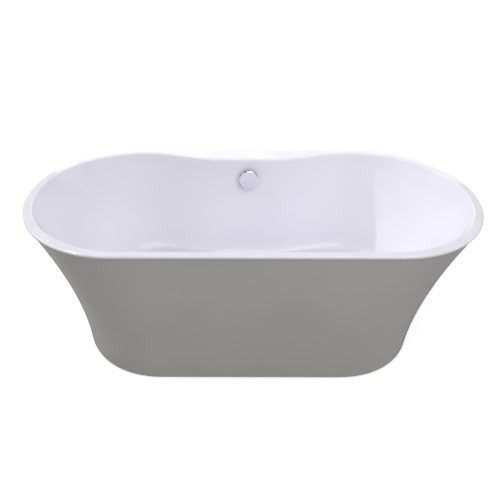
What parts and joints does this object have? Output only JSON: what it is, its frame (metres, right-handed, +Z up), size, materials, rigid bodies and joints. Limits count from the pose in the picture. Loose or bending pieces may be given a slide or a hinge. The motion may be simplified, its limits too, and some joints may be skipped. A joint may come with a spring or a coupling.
{
  "type": "freestanding bathtub",
  "caption": "Double-ended freestanding bathtub with a flared oval skirt, a rear tap deck, a rotary overflow knob, a pop-up waste and levelling feet.",
  "frame": {"origin": "on the floor under the middle of the rim", "axes": "+X along the tub, +Y to the rear where the tap deck is, +Z up"},
  "size_m": [1.7, 0.8, 0.6],
  "materials": {
    "white_acrylic": "gloss",
    "grey_acrylic": "gloss",
    "chrome": "polished",
    "steel": "zinc plated",
    "board": "raw",
    "polypropylene": "satin",
    "black_plastic": "matte",
    "rubber": "matte",
    "adhesive": "matte"
  },
  "bodies": {
    "tub": {"basin_shell": "white_acrylic", "skirt_shell": "grey_acrylic", "rim_bond_bead": "adhesive", "floor_board": "board", "deck_board": "board", "rail_front": "steel", "rail_rear": "steel", "cross_left": "steel", "cross_right": "steel", "frame_screw_front_left": "steel", "bracket_front_left": "steel", "bracket_screw_front_left": "steel", "foot_nut_front_left": "steel", "bracket_pad_front_left": "adhesive", "frame_screw_front_right": "steel", "bracket_front_right": "steel", "bracket_screw_front_right": "steel", "foot_nut_front_right": "steel", "bracket_pad_front_right": "adhesive", "frame_screw_rear_left": "steel", "bracket_rear_left": "steel", "bracket_screw_rear_left": "steel", "foot_nut_rear_left": "steel", "bracket_pad_rear_left": "adhesive", "frame_screw_rear_right": "steel", "bracket_rear_right": "steel", "bracket_screw_rear_right": "steel", "foot_nut_rear_right": "steel", "bracket_pad_rear_right": "adhesive", "overflow_washer": "rubber", "overflow_gasket": "rubber", "waste_gasket_top": "rubber", "waste_gasket_low": "rubber", "overflow_seat": "chrome", "waste_flange": "chrome", "overflow_body": "polypropylene", "waste_body": "polypropylene", "tail_nut": "polypropylene", "tail_pipe": "polypropylene", "hose_nut_top": "polypropylene", "hose_nut_low": "polypropylene", "overflow_hose": "black_plastic", "drive_cable": "black_plastic"},
    "foot_front_left": {"foot_pad_front_left": "black_plastic", "foot_stem_front_left": "steel"},
    "foot_front_right": {"foot_pad_front_right": "black_plastic", "foot_stem_front_right": "steel"},
    "foot_rear_left": {"foot_pad_rear_left": "black_plastic", "foot_stem_rear_left": "steel"},
    "foot_rear_right": {"foot_pad_rear_right": "black_plastic", "foot_stem_rear_right": "steel"},
    "knob": {"overflow_knob": "chrome", "overflow_spindle": "steel"},
    "plug": {"plug_cap": "chrome", "plug_seal": "rubber", "plug_stem": "steel"},
    "lever": {"lift_lever": "steel"}
  },
  "joints": [
    {"name": "level_front_left", "type": "slide", "parent": "tub", "child": "foot_front_left", "axis": [0, 0, -1], "range_m": [-0.003, 0.02]},
    {"name": "level_front_right", "type": "slide", "parent": "tub", "child": "foot_front_right", "axis": [0, 0, -1], "range_m": [-0.003, 0.02]},
    {"name": "level_rear_left", "type": "slide", "parent": "tub", "child": "foot_rear_left", "axis": [0, 0, -1], "range_m": [-0.003, 0.02]},
    {"name": "level_rear_right", "type": "slide", "parent": "tub", "child": "foot_rear_right", "axis": [0, 0, -1], "range_m": [-0.003, 0.02]},
    {"name": "knob_turn", "type": "hinge", "parent": "tub", "child": "knob", "pos_m": [0, 0.28944, 0.515], "axis": [0, -0.9959, 0.0902], "range_deg": [0, 90]},
    {"name": "plug_lift", "type": "slide", "parent": "tub", "child": "plug", "axis": [0, 0, 1], "range_m": [0, 0.01]},
    {"name": "lever_tilt", "type": "hinge", "parent": "tub", "child": "lever", "pos_m": [0, 0.0648, 0.1053], "axis": [1, 0, 0], "range_deg": [0, 36.6]}
  ],
  "couplings": [
    {"joint": "plug_lift", "follows": "knob_turn", "m_per_rad": 0.006366},
    {"joint": "lever_tilt", "follows": "knob_turn", "ratio": 0.40467}
  ]
}
